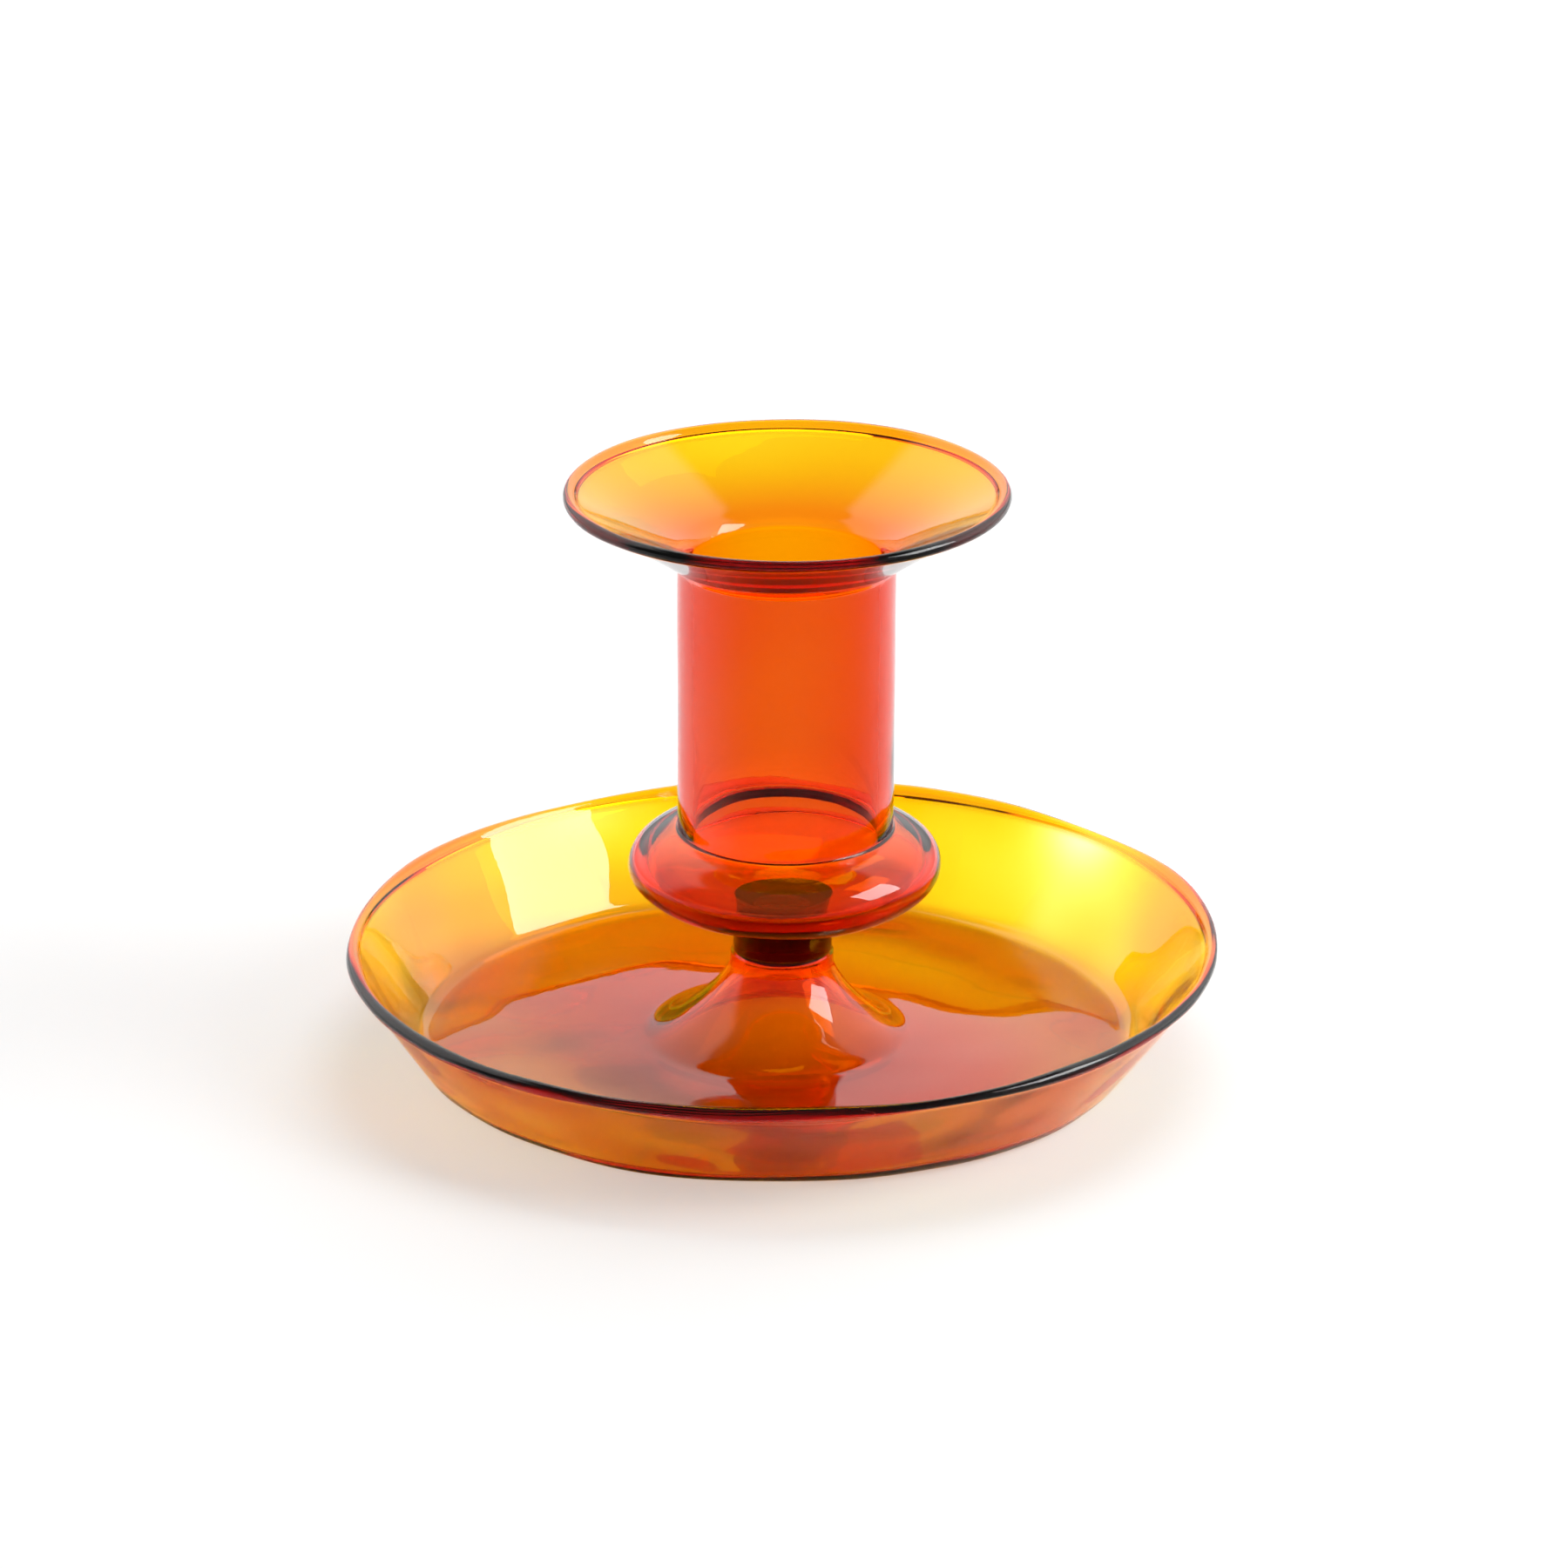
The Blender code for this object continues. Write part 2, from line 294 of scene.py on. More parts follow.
def glass_outline():
    """The whole surface of the glass as one line of (radius, height), and its weld points.

    It starts on the axis inside the bulb, climbs the bore, turns over the pan, goes down the
    outside to the saucer, over its rim and under it, and ends on the axis inside the cone.
    """
    bore = SOCKET_RADIUS - SOCKET_WALL
    bulb_outside, bulb_inside = bulb_halves(bore)

    crease = radians(THROAT_CREASE)
    throat = arc(
        (bore + THROAT_RADIUS * cos(crease), THROAT_HEIGHT - THROAT_RADIUS * sin(crease)),
        (THROAT_RADIUS, THROAT_RADIUS),
        180.0 - THROAT_CREASE,
        90.0 + PAN_INNER_SLOPE - PAN_INNER_BOW / 2.0,
    )
    armpit = arc(
        (SOCKET_RADIUS + ARMPIT_RADIUS, SOCKET_TOP),
        (ARMPIT_RADIUS, ARMPIT_RADIUS),
        90.0 + PAN_OUTER_SLOPE - PAN_OUTER_BOW / 2.0,
        180.0,
    )
    pan_angle = (PAN_INNER_SLOPE + PAN_OUTER_SLOPE) / 2.0
    pan_rim = rim(bead_centre(PAN_RADIUS, TOTAL_HEIGHT), pan_angle, PAN_RIM_WALL)
    pan_inside = bowed(throat[-1], pan_rim[0], PAN_INNER_BOW)
    pan_outside = bowed(armpit[0], pan_rim[-1], PAN_OUTER_BOW)

    lip = arc((COLLAR_RADIUS, CONE_LIP_HEIGHT), (LIP_RADIUS - COLLAR_RADIUS, LIP_EDGE), 90.0, LIP_END)
    cone_outside = flare((CONE_FOOT_RADIUS, FLOOR_THICKNESS), (COLLAR_RADIUS, CONE_LIP_HEIGHT))
    cone_outside = cone_outside[cone_outside[:, 0] > LIP_RADIUS]
    cone_inside = flare((CONE_FOOT_RADIUS, 0.0), (COLLAR_RADIUS - CONE_WALL, CONE_LIP_HEIGHT))
    cone_inside = cone_inside[cone_inside[:, 1] < PLUG_FOOT]

    saucer_bead = bead_centre(SAUCER_RADIUS, SAUCER_HEIGHT)
    corner = (SAUCER_BASE_RADIUS - BASE_CORNER_RADIUS, BASE_CORNER_RADIUS)
    wall_angle = direction(corner, saucer_bead)
    saucer_rim = rim(saucer_bead, wall_angle, SAUCER_WALL)
    inner_foot = moved(corner, wall_angle - 90.0, BASE_CORNER_RADIUS - SAUCER_WALL)
    fillet_height = FLOOR_THICKNESS + FLOOR_FILLET_RADIUS
    reach = (fillet_height - inner_foot[1]) * cos(radians(wall_angle)) - FLOOR_FILLET_RADIUS
    fillet_radius = inner_foot[0] + reach / sin(radians(wall_angle))
    floor_fillet = arc(
        (fillet_radius, fillet_height),
        (FLOOR_FILLET_RADIUS, FLOOR_FILLET_RADIUS),
        -90.0,
        wall_angle - 90.0,
    )
    base_corner = arc(corner, (BASE_CORNER_RADIUS, BASE_CORNER_RADIUS), wall_angle - 90.0, -90.0)

    line = np.concatenate(
        [
            bulb_inside,
            throat,
            pan_inside,
            pan_rim,
            pan_outside[::-1],
            armpit,
            bulb_outside,
            lip,
            cone_outside[::-1],
            floor_fillet,
            saucer_rim,
            base_corner,
            cone_inside,
            [(0.0, PLUG_FOOT)],
        ]
    )
    welds = {
        "bore_low": (bore, CREASE_HEIGHT + LOWER_WELD_RISE),
        "bore_high": (bore, SOCKET_TOP - UPPER_WELD_DROP),
        "pan_in": moved(pan_rim[0], pan_angle + 180.0, RIM_WELD_SETBACK),
        "pan_out": moved(pan_rim[-1], pan_angle + 180.0, RIM_WELD_SETBACK),
        "socket_high": (SOCKET_RADIUS, SOCKET_TOP - UPPER_WELD_DROP),
        "socket_low": (SOCKET_RADIUS, CREASE_HEIGHT + LOWER_WELD_RISE),
        "collar_top": (COLLAR_RADIUS, BULB_FOOT),
        "collar_foot": (COLLAR_RADIUS, CONE_LIP_HEIGHT + LIP_EDGE),
        "cone_out": (CONE_FOOT_RADIUS, FLOOR_THICKNESS),
        "saucer_in": moved(saucer_rim[0], wall_angle + 180.0, RIM_WELD_SETBACK),
        "saucer_out": moved(saucer_rim[-1], wall_angle + 180.0, RIM_WELD_SETBACK),
        "cone_in": (CONE_FOOT_RADIUS, 0.0),
        "plug": tuple(cone_inside[-1]),
    }
    return softened(refined(line)), welds


def thinned(points):
    """Fewer points: close together where the line turns and further apart where it runs straight."""
    steps = np.diff(points, axis=0)
    headings = np.unwrap(np.arctan2(steps[:, 1], steps[:, 0]))
    turns = np.concatenate((np.abs(np.diff(headings)), [0.0]))
    effort = np.linalg.norm(steps, axis=1) / LONGEST_STEP + turns / LARGEST_TURN
    along = np.concatenate(([0.0], np.cumsum(effort)))
    places = np.linspace(0.0, along[-1], max(FEWEST_RUN_POINTS, int(np.ceil(along[-1])) + 1))
    return np.column_stack([np.interp(places, along, points[:, k]) for k in (0, 1)])


def rows_and_stops(points, welds):
    """The outline thinned between its welds, and the row that each weld falls on."""
    nearest = {
        name: int(np.argmin(np.linalg.norm(points - np.array(place), axis=1)))
        for name, place in welds.items()
    }
    order = sorted(nearest, key=nearest.get)
    cuts = [0] + [nearest[name] for name in order] + [len(points) - 1]
    rows = [points[:1]]
    stops = {"start": 0}
    count = 0
    for name, first, last in zip(order + ["end"], cuts, cuts[1:]):
        run = thinned(points[first : last + 1])
        rows.append(run[1:])
        count += len(run) - 1
        stops[name] = count
    return np.concatenate(rows), stops


# ------------------------------------------------------------------------- made by hand, by eye

SEED = 11
WAVES = 26
CUP_RIPPLE = 0.022 * MM
SAUCER_RIPPLE = 0.06 * MM
SHORTEST_WAVE = 9.0 * MM
LONGEST_WAVE = 45.0 * MM

# The glass leans to one side the higher it rises, most of it within a short height.
LEAN = 1.4 * MM
LEAN_HEIGHT = 16.0 * MM

# The floor's upper face isn't flat around the cone. It's twisted by a multiple of X times Y, so that
# it's thicker on one diagonal than on the other. It's also crowned: thicker all round the cone's
# foot, where more glass was gathered. Both begin between the same two radii, and each ends between
# its own two.
FLOOR_SHAPE_STARTS = (6.0 * MM, 12.0 * MM)
TWIST = 1.3
TWIST_ENDS = (26.0 * MM, 41.0 * MM)
CROWN = 0.6 * MM
CROWN_ENDS = (14.0 * MM, 36.0 * MM)

# The saucer's rim isn't quite level. How much it rises towards +X and +Y.
RIM_RISE = (0.4 * MM, 0.42 * MM)


def smooth_step(values, low, high):
    """0 below low, 1 above high and a smooth climb between."""
    share = np.clip((values - low) / (high - low), 0.0, 1.0)
    return share * share * (3.0 - 2.0 * share)


def ripple(places, along):
    """An uneven height for each point of the surface, from slow waves that cross it.

    The distance along the outline is a fourth direction, so the two faces of a wall differ.
    """
    draw = np.random.default_rng(SEED)
    total = np.zeros(places.shape[:2])
    for _ in range(WAVES):
        heading = draw.normal(size=4)
        heading /= np.linalg.norm(heading)
        wave = draw.uniform(SHORTEST_WAVE, LONGEST_WAVE)
        phase = draw.uniform(0.0, 2.0 * pi)
        distance = places @ heading[:3] + along[:, None] * heading[3]
        total += wave / LONGEST_WAVE * np.cos(2.0 * pi * distance / wave + phase)
    return total


def turned_surface(rows, floor_rows):
    """The outline turned about Z, made uneven by hand, with the normal at every point.

    The floor's rows are the first and last on the upper face, between the collar and the rim.
    """
    angles = np.linspace(0.0, 2.0 * pi, SEGMENTS, endpoint=False)
    spokes = np.column_stack((np.cos(angles), np.sin(angles), np.zeros(SEGMENTS)))
    up = np.array([0.0, 0.0, 1.0])
    places = rows[:, None, :1] * spokes[None] + rows[:, None, 1:] * up

    # A ripple pushes the surface along its normal, and dies out at the axis.
    tangents = np.gradient(rows, axis=0)
    tangents /= np.linalg.norm(tangents, axis=1)[:, None]
    outward = tangents[:, None, :1] * up - tangents[:, None, 1:] * spokes[None]
    in_cup = smooth_step(rows[:, 0], 0.0, SOCKET_RADIUS)
    in_saucer = smooth_step(rows[:, 0], PAN_RADIUS, SAUCER_BASE_RADIUS)
    height = CUP_RIPPLE * in_cup + (SAUCER_RIPPLE - CUP_RIPPLE) * in_saucer
    push = ripple(places, lengths_along(rows)) * height[:, None]
    places += push[:, :, None] * outward

    on_floor = np.zeros(len(rows))
    on_floor[floor_rows[0] : floor_rows[1]] = 1.0
    start = smooth_step(rows[:, 0], *FLOOR_SHAPE_STARTS)
    twisted = on_floor * (start - smooth_step(rows[:, 0], *TWIST_ENDS))
    crowned = on_floor * (start - smooth_step(rows[:, 0], *CROWN_ENDS))
    places[:, :, 2] -= TWIST * places[:, :, 0] * places[:, :, 1] * twisted[:, None]
    places[:, :, 2] += CROWN * crowned[:, None]

    wall = smooth_step(rows[:, 0], SAUCER_BASE_RADIUS - BASE_CORNER_RADIUS, SAUCER_RADIUS)
    tilt = (places[:, :, 0] * RIM_RISE[0] + places[:, :, 1] * RIM_RISE[1]) / SAUCER_RADIUS
    places[:, :, 2] += tilt * wall[:, None]
    places[:, :, 0] += LEAN * (1.0 - np.exp(-places[:, :, 2] / LEAN_HEIGHT))

    lowest = places[:, :, 2].min()
    places[:, :, 2] -= lowest

    forward = np.gradient(places, axis=0)
    sideways = np.roll(places, -1, axis=1) - np.roll(places, 1, axis=1)
    normals = np.cross(forward, sideways)
    normals /= np.maximum(np.linalg.norm(normals, axis=2), TINY)[:, :, None]
    normals[0] = (0.0, 0.0, 1.0)
    normals[-1] = (0.0, 0.0, -1.0)
    return places, normals


# --------------------------------------------------------------------------------- the pieces

class Shell:
    """Rings of points that are bridged one after another into a closed piece."""

    def __init__(self, places, normals):
        self.places = places
        self.normals = normals
        self.points = []
        self.point_normals = []
        self.rings = []
        self.faces = []
        self.welded = []

    def add_ring(self, ring, ring_normals):
        """A ring of points, or a single point on the axis."""
        first = len(self.points)
        self.points.extend(ring.tolist())
        self.point_normals.extend(ring_normals.tolist())
        self.rings.append(list(range(first, first + len(ring))))

    def add_run(self, first, last):
        """The surface from one row to another, drawn back a hair from the welds at its ends."""
        for row in range(first, last + 1):
            ring = self.places[row]
            inner = {first: row + 1, last: row - 1}.get(row)
            if np.ptp(ring, axis=0).max() < POLE_WIDTH:
                self.add_ring(ring[:1], self.normals[row][:1])
            else:
                if inner is not None:
                    away = self.places[inner] - ring
                    away /= np.linalg.norm(away, axis=1)[:, None]
                    ring = ring + away * WELD_GAP / 2.0
                self.add_ring(ring, self.normals[row])
            if row > first:
                self.bridge(-2, -1, False)

    def add_pole(self, row, side):
        """The middle of a weld disc that faces along the axis. Side is 1 for a disc facing up."""
        middle = self.places[row].mean(axis=0)
        middle[2] -= side * WELD_GAP / 2.0
        self.add_ring(middle[None], np.array([[0.0, 0.0, side]]))

    def bridge(self, one, other, welded):
        """Faces between two rings, either of which may be a single point."""
        a = self.rings[one]
        b = self.rings[other]
        for here in range(SEGMENTS):
            there = (here + 1) % SEGMENTS
            corners = [a[here % len(a)], b[here % len(b)], b[there % len(b)], a[there % len(a)]]
            kept = list(dict.fromkeys(corners))
            self.faces.append(kept)
            self.welded.append(welded)

    def to_object(self, name):
        """The piece as an object. Its welded faces are flat, and marked for the glass to find."""
        mesh = bpy.data.meshes.new(name)
        mesh.from_pydata(self.points, [], self.faces)
        mesh.shade_smooth()
        weld = mesh.attributes.new("weld", "FLOAT", "FACE")
        weld.data.foreach_set("value", np.array(self.welded, np.float32))
        corner_normals = []
        for face, welded in zip(mesh.polygons, self.welded):
            for vertex in face.vertices:
                corner_normals.append(
                    tuple(face.normal) if welded else self.point_normals[vertex]
                )
        mesh.normals_split_custom_set(corner_normals)
        mesh.update()
        piece = bpy.data.objects.new(name, mesh)
        bpy.context.scene.collection.objects.link(piece)
        return piece


def finished(piece, node, material):
    """The piece in its glass, standing for its CAD node."""
    piece.data.materials.append(material)
    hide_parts(node)
    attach(piece, "root")


# ------------------------------------------------------------------------------ shader graphs

WHITE = (1.0, 1.0, 1.0, 1.0)


class Graph:
    """Adds and joins the shader nodes of a material or a world."""

    def __init__(self, tree):
        self.nodes = tree.nodes
        self.links = tree.links

    def add(self, kind):
        return self.nodes.new("ShaderNode" + kind)

    def link(self, source, target):
        self.links.new(source, target)

    def fill(self, node, values):
        """Put numbers, vectors or other nodes' outputs into a node's inputs, in order."""
        for slot, value in enumerate(values):
            if isinstance(value, bpy.types.NodeSocket):
                self.link(value, node.inputs[slot])
            else:
                node.inputs[slot].default_value = value

    def maths(self, operation, first, second):
        node = self.add("Math")
        node.operation = operation
        self.fill(node, (first, second))
        return node.outputs["Value"]

    def vector(self, operation, first, second=(0.0, 0.0, 0.0)):
        node = self.add("VectorMath")
        node.operation = operation
        self.fill(node, (first, second))
        return node.outputs

    def ramp(self, value, low, high, start, end):
        """From start, where the value is below low, smoothly to end, where it's above high."""
        node = self.add("MapRange")
        node.interpolation_type = "SMOOTHSTEP"
        self.fill(node, (value, low, high, start, end))
        return node.outputs["Result"]

    def noise(self, where, scale, detail):
        node = self.add("TexNoise")
        node.inputs["Scale"].default_value = scale
        node.inputs["Detail"].default_value = detail
        self.link(where, node.inputs["Vector"])
        return node.outputs["Fac"]


# ---------------------------------------------------------------------------------- the glass

GLASS_IOR = 1.47

# How much red, green and blue light a metre of the glass absorbs.
AMBER_ABSORPTION = (50.0, 610.0, 6000.0)
COLLAR_ABSORPTION = (260.0, 1500.0, 6000.0)

# The flame leaves a faint grain in the surface, and long faint cords where the glass was drawn out.
GRAIN_SCALE = 500.0
GRAIN_DETAIL = 2.0
GRAIN_DEPTH = 0.004 * MM
CORD_SCALE = 160.0
CORD_SQUEEZE = 0.25
CORD_DETAIL = 1.0
CORD_DEPTH = 0.012 * MM


def glass(name, absorption):
    """Clear glass that takes light off as it crosses it, by the absorption in each colour."""
    material = bpy.data.materials.new(name)
    material.use_nodes = True
    graph = Graph(material.node_tree)
    shader = graph.nodes["Principled BSDF"]
    shader.inputs["Base Color"].default_value = WHITE
    shader.inputs["Roughness"].default_value = 0.0
    shader.inputs["Transmission Weight"].default_value = 1.0

    # Across a weld there's no change of glass, so nothing bends or shines there.
    weld = graph.add("Attribute")
    weld.attribute_name = "weld"
    clear = graph.maths("SUBTRACT", 1.0, weld.outputs["Fac"])
    graph.link(graph.ramp(clear, 0.0, 1.0, 1.0, GLASS_IOR), shader.inputs["IOR"])

    where = graph.add("TexCoord").outputs["Object"]
    drawn = graph.vector("MULTIPLY", where, (1.0, 1.0, CORD_SQUEEZE))["Vector"]
    grain = graph.maths("MULTIPLY", graph.noise(where, GRAIN_SCALE, GRAIN_DETAIL), GRAIN_DEPTH)
    cords = graph.maths("MULTIPLY", graph.noise(drawn, CORD_SCALE, CORD_DETAIL), CORD_DEPTH)
    uneven = graph.add("Bump")
    uneven.inputs["Distance"].default_value = 1.0
    graph.link(graph.maths("ADD", grain, cords), uneven.inputs["Height"])
    graph.link(uneven.outputs["Normal"], shader.inputs["Normal"])

    colour = graph.add("VolumeAbsorption")
    strongest = max(absorption)
    colour.inputs["Color"].default_value = (*[1.0 - a / strongest for a in absorption], 1.0)
    colour.inputs["Density"].default_value = strongest
    graph.link(colour.outputs["Volume"], graph.nodes["Material Output"].inputs["Volume"])
    return material


def build_candlestick():
    outline, welds = glass_outline()
    rows, stop = rows_and_stops(outline, welds)
    places, normals = turned_surface(rows, (stop["collar_foot"], stop["saucer_in"]))
    amber = glass("amber_glass", AMBER_ABSORPTION)
    dark = glass("dark_glass", COLLAR_ABSORPTION)

    # Each wall has a face between its first two welds and another between its last two.
    walls = {
        "socket_tube": ("bore_low", "bore_high", "socket_high", "socket_low"),
        "drip_pan": ("bore_high", "pan_in", "pan_out", "socket_high"),
        "foot_cone": ("collar_foot", "cone_out", "cone_in", "plug"),
        "saucer": ("cone_out", "saucer_in", "saucer_out", "cone_in"),
    }
    for node, (a, b, c, d) in walls.items():
        shell = Shell(places, normals)
        shell.add_run(stop[a], stop[b])
        joint = len(shell.rings)
        shell.add_run(stop[c], stop[d])
        shell.bridge(joint - 1, joint, True)
        shell.bridge(-1, 0, True)
        finished(shell.to_object(node + "_glass"), node, amber)

    beads = {"drip_pan_bead": ("pan_in", "pan_out"), "saucer_bead": ("saucer_in", "saucer_out")}
    for node, (a, b) in beads.items():
        shell = Shell(places, normals)
        shell.add_run(stop[a], stop[b])
        shell.bridge(-1, 0, True)
        finished(shell.to_object(node + "_glass"), node, amber)

    bulb = Shell(places, normals)
    bulb.add_run(stop["start"], stop["bore_low"])
    joint = len(bulb.rings)
    bulb.add_run(stop["socket_low"], stop["collar_top"])
    bulb.bridge(joint - 1, joint, True)
    bulb.add_pole(stop["collar_top"], -1.0)
    bulb.bridge(-2, -1, True)
    finished(bulb.to_object("bulb_glass"), "bulb", amber)

    collar = Shell(places, normals)
    collar.add_pole(stop["collar_top"], 1.0)
    joint = len(collar.rings)
    collar.add_run(stop["collar_top"], stop["collar_foot"])
    collar.bridge(joint - 1, joint, True)
    joint = len(collar.rings)
    collar.add_run(stop["plug"], stop["end"])
    collar.bridge(joint - 1, joint, True)
    finished(collar.to_object("neck_collar_glass"), "neck_collar", dark)


# ---------------------------------------------------------------------- table, light and camera

CAMERA_ELEVATION = radians(21.04)
CAMERA_DISTANCE = 1.0
CAMERA_CLIP = (0.05, 50.0)
LENS_MM = 183.26
SENSOR_MM = 36.0
AIM_OFFSET = (1.0 * MM, -2.0 * MM)

# Below the glass by this much, so that the table doesn't share a surface with it.
TABLE_CLEARANCE = 0.02 * MM
TABLE_SIZE = 6.0
TABLE_WHITE = 0.92

# Seen through the glass or lighting it, the table is whitest under the object, and dimmer beyond
# this ring: a painted pool of light around the object.
OUTER_TABLE_SHARE = 0.8
TABLE_RING = (0.075, 0.105)

# Seen directly, the table's white is lowered and it glows a little: painted light that softens its
# shadows. Far from the object it glows more, however it's seen, so that it fades into the paper
# behind.
SEEN_TABLE_WHITE = 0.45
SEEN_TABLE_GLOW = 0.44
FAR_GLOW = 0.75
TABLE_FADE = (0.25, 0.8)

# Mirrored in the glass, the table's front is darkened: painted shade in its white and its glow, as
# the front of a small studio set is dim. The dim side lies towards the camera, turned from it by the
# dark heading, and fades out over the spread, a cosine. It covers the table beneath the object and
# beyond it, but not the ring between.
MIRRORED_FRONT = 0.2
DARK_HEADING = radians(17.0)
DARK_SPREAD = 0.7
DARK_BENEATH = (0.045, 0.055)
DARK_BEYOND = (0.06, 0.08)

# Angles are in degrees, lengths in metres and radiance in watts per square metre and steradian.
KEY = {"heading": 100.0, "elevation": 33.0, "distance": 1.2, "size": (0.62, 0.62), "radiance": 10.0}
FILL = {"heading": -85.0, "elevation": 38.0, "distance": 1.2, "size": (1.0, 0.5), "radiance": 1.3}
TOP = {"heading": 20.0, "elevation": 58.0, "distance": 0.8, "size": (0.5, 0.5), "radiance": 5.4}

# How bright the studio is: paper behind the object, what screens at its right add to that, and the
# dark room around the camera.
PAPER = 1.0
SCREENS = 0.5
ROOM = 0.12

# Where the paper and the screens fade out, by how far a direction points ahead, up or to the right.
# 1 is straight ahead, straight up or straight to the right.
PAPER_SIDES = (-0.1, 0.15)
PAPER_TOP = (sin(radians(52.0)), sin(radians(58.0)))
SCREENS_INNER = (0.5, 0.95)
SCREENS_FRONT = (-0.9, -0.6)

# Mirrored in the glass, the paper brightens from the horizon to its full white over this rise.
MIRRORED_HORIZON = 0.6
MIRRORED_PAPER = 1.2
MIRRORED_RISE = (sin(radians(2.0)), sin(radians(12.0)))

# How often light may bounce in the glass, between plain surfaces and through clear ones.
GLASS_BOUNCES = 64
PLAIN_BOUNCES = 4
CLEAR_BOUNCES = 32


def heading_of_view(graph):
    """The level direction in which the camera looks, in a shader."""
    look = graph.add("VectorTransform")
    look.vector_type = "VECTOR"
    look.convert_from = "CAMERA"
    look.convert_to = "WORLD"
    look.inputs["Vector"].default_value = (0.0, 0.0, 1.0)
    level = graph.vector("MULTIPLY", look.outputs["Vector"], (1.0, 1.0, 0.0))["Vector"]
    return graph.vector("NORMALIZE", level)["Vector"]


def table_top():
    """The table's white, with painted light and shade, which differs for the camera's own view, for
    mirrors and for other light.
    """
    material = bpy.data.materials.new("table_top")
    material.use_nodes = True
    graph = Graph(material.node_tree)
    path = graph.add("LightPath")
    seen = path.outputs["Is Camera Ray"]
    mirrored = graph.maths("MINIMUM", path.outputs["Glossy Depth"], 1.0)
    from_middle = graph.vector("LENGTH", graph.add("TexCoord").outputs["Object"])["Value"]

    # Painted shade in the glass's reflections: the table's front is darkened where it's mirrored.
    towards_eye = graph.add("NewGeometry").outputs["Incoming"]
    turned = graph.add("VectorRotate")
    turned.rotation_type = "Z_AXIS"
    turned.inputs["Angle"].default_value = DARK_HEADING
    graph.link(heading_of_view(graph), turned.inputs["Vector"])
    onwards = graph.vector("DOT_PRODUCT", towards_eye, turned.outputs["Vector"])["Value"]
    in_front = graph.ramp(onwards, -DARK_SPREAD, DARK_SPREAD, 0.0, 1.0 - MIRRORED_FRONT)
    beyond = graph.ramp(from_middle, *DARK_BEYOND, 0.0, 1.0)
    beneath = graph.ramp(from_middle, *DARK_BENEATH, 1.0, 0.0)
    in_front = graph.maths("MULTIPLY", in_front, graph.maths("MAXIMUM", beyond, beneath))
    dim = graph.maths("MULTIPLY", in_front, mirrored)
    kept = graph.maths("SUBTRACT", 1.0, dim)

    # Painted pool of light: the table's white is higher under the object than beyond the ring.
    unseen = graph.ramp(from_middle, *TABLE_RING, TABLE_WHITE, TABLE_WHITE * OUTER_TABLE_SHARE)
    # Painted light for the camera's own view: a lower white and a glow, which lift the shadows.
    white = graph.ramp(seen, 0.0, 1.0, unseen, SEEN_TABLE_WHITE)
    near_glow = graph.maths("MULTIPLY", seen, SEEN_TABLE_GLOW)
    glow = graph.ramp(from_middle, *TABLE_FADE, near_glow, FAR_GLOW)
    shader = graph.nodes["Principled BSDF"]
    shader.inputs["Emission Color"].default_value = WHITE
    shader.inputs["Roughness"].default_value = 1.0
    shader.inputs["Specular IOR Level"].default_value = 0.0
    graph.link(graph.maths("MULTIPLY", white, kept), shader.inputs["Base Color"])
    graph.link(graph.maths("MULTIPLY", glow, kept), shader.inputs["Emission Strength"])
    return material


def make_floor():
    """A plain white table, whose material paints light and shade into its white."""
    half = TABLE_SIZE / 2.0
    mesh = bpy.data.meshes.new("floor")
    corners = [(-half, -half, 0.0), (half, -half, 0.0), (half, half, 0.0), (-half, half, 0.0)]
    mesh.from_pydata(corners, [], [(0, 1, 2, 3)])
    mesh.materials.append(table_top())
    floor = bpy.data.objects.new("floor", mesh)
    bpy.context.scene.collection.objects.link(floor)
    floor.location.z = -TABLE_CLEARANCE
    floor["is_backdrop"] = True


def soft_box(name, heading, elevation, distance, size, radiance, rig, aim):
    """A rectangular light. Its heading is clockwise from straight behind the object."""
    light = bpy.data.lights.new(name, "AREA")
    light.shape = "RECTANGLE"
    light.size, light.size_y = size
    light.energy = radiance * pi * size[0] * size[1]
    lamp = bpy.data.objects.new(name, light)
    bpy.context.scene.collection.objects.link(lamp)
    turn, lift = radians(heading), radians(elevation)
    lamp.location = (
        aim[0] + distance * sin(turn) * cos(lift),
        aim[1] + distance * cos(turn) * cos(lift),
        aim[2] + distance * sin(lift),
    )
    lamp.rotation_euler = (pi / 2.0 - lift, 0.0, pi - turn)
    lamp.parent = rig
    return lamp


def make_camera(aim):
    camera = bpy.data.objects.new("camera", bpy.data.cameras.new("camera"))
    bpy.context.scene.collection.objects.link(camera)
    camera.data.lens = LENS_MM
    camera.data.sensor_width = SENSOR_MM
    camera.data.clip_start, camera.data.clip_end = CAMERA_CLIP
    camera.location = (
        aim[0],
        aim[1] - CAMERA_DISTANCE * cos(CAMERA_ELEVATION),
        aim[2] + CAMERA_DISTANCE * sin(CAMERA_ELEVATION),
    )
    camera.rotation_euler = (pi / 2.0 - CAMERA_ELEVATION, 0.0, 0.0)
    bpy.context.scene.camera = camera
    return camera


def make_lights(camera, aim):
    """Soft boxes on a turntable that keeps them at the same sides of every view.

    Only the key shows as a window in the glass.
    """
    rig = bpy.data.objects.new("light_rig", None)
    bpy.context.scene.collection.objects.link(rig)
    follow = rig.constraints.new("COPY_ROTATION")
    follow.target = camera
    follow.use_x = False
    follow.use_y = False
    soft_box("key", rig=rig, aim=aim, **KEY)
    soft_box("fill", rig=rig, aim=aim, **FILL).visible_glossy = False
    soft_box("top", rig=rig, aim=aim, **TOP).visible_glossy = False


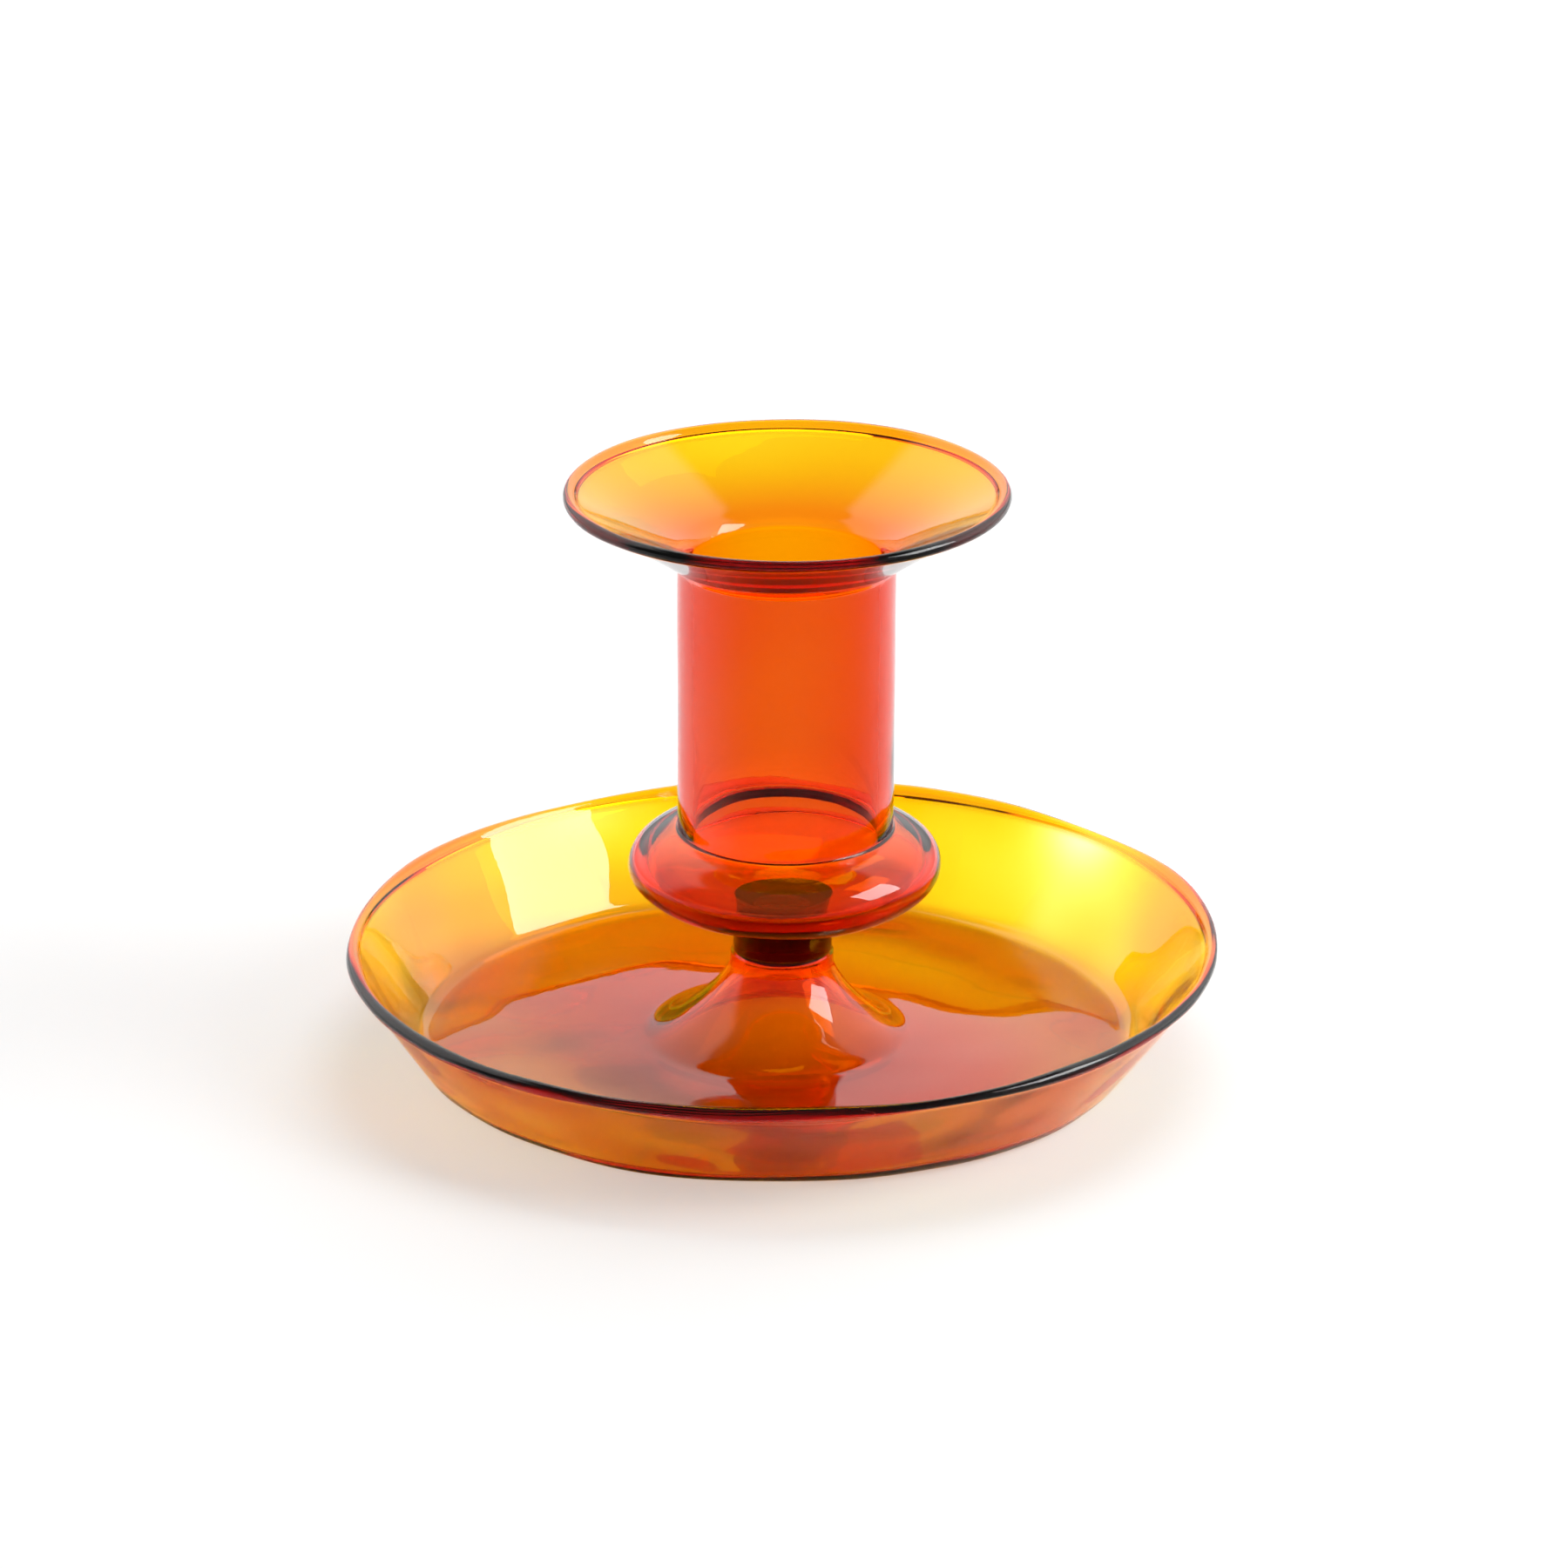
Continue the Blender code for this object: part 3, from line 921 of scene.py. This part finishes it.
def make_world():
    """A studio that turns with the camera, so that every view has the same light around it."""
    world = bpy.data.worlds.new("studio")
    bpy.context.scene.world = world
    world.use_nodes = True
    graph = Graph(world.node_tree)

    heading = heading_of_view(graph)
    across = graph.vector("CROSS_PRODUCT", heading, (0.0, 0.0, 1.0))["Vector"]
    ray = graph.add("TexCoord").outputs["Generated"]
    ahead = graph.vector("DOT_PRODUCT", ray, heading)["Value"]
    sideways = graph.vector("DOT_PRODUCT", ray, across)["Value"]
    height = graph.vector("DOT_PRODUCT", ray, (0.0, 0.0, 1.0))["Value"]

    # Mirrored means reached by at least one reflection, inside the glass or on it.
    reflections = graph.add("LightPath").outputs["Glossy Depth"]
    mirrored = graph.maths("MINIMUM", reflections, 1.0)
    behind = graph.ramp(ahead, *PAPER_SIDES, 0.0, 1.0)
    below_top = graph.ramp(height, *PAPER_TOP, 1.0, 0.0)
    rising = graph.ramp(height, *MIRRORED_RISE, MIRRORED_HORIZON, MIRRORED_PAPER)
    paper = graph.ramp(mirrored, 0.0, 1.0, PAPER, rising)
    paper = graph.maths("MULTIPLY", paper, graph.maths("MULTIPLY", behind, below_top))
    screens = graph.ramp(sideways, *SCREENS_INNER, 0.0, SCREENS)
    screens = graph.maths("MULTIPLY", screens, graph.ramp(ahead, *SCREENS_FRONT, 0.0, 1.0))
    light = graph.maths("ADD", graph.maths("ADD", paper, screens), ROOM)
    background = graph.nodes["Background"]
    background.inputs["Color"].default_value = WHITE
    graph.link(light, background.inputs["Strength"])


def set_light_paths():
    """Enough bounces for light to run along inside the walls, and plain colours."""
    scene = bpy.context.scene
    scene.cycles.max_bounces = GLASS_BOUNCES
    scene.cycles.transmission_bounces = GLASS_BOUNCES
    scene.cycles.glossy_bounces = GLASS_BOUNCES
    scene.cycles.diffuse_bounces = PLAIN_BOUNCES
    scene.cycles.transparent_max_bounces = CLEAR_BOUNCES
    scene.view_settings.view_transform = "Standard"


build_candlestick()
make_floor()
lowest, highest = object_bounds()
AIM = (AIM_OFFSET[0], 0.0, (lowest.z + highest.z) / 2.0 + AIM_OFFSET[1])
camera = make_camera(AIM)
make_lights(camera, AIM)
make_world()
set_light_paths()
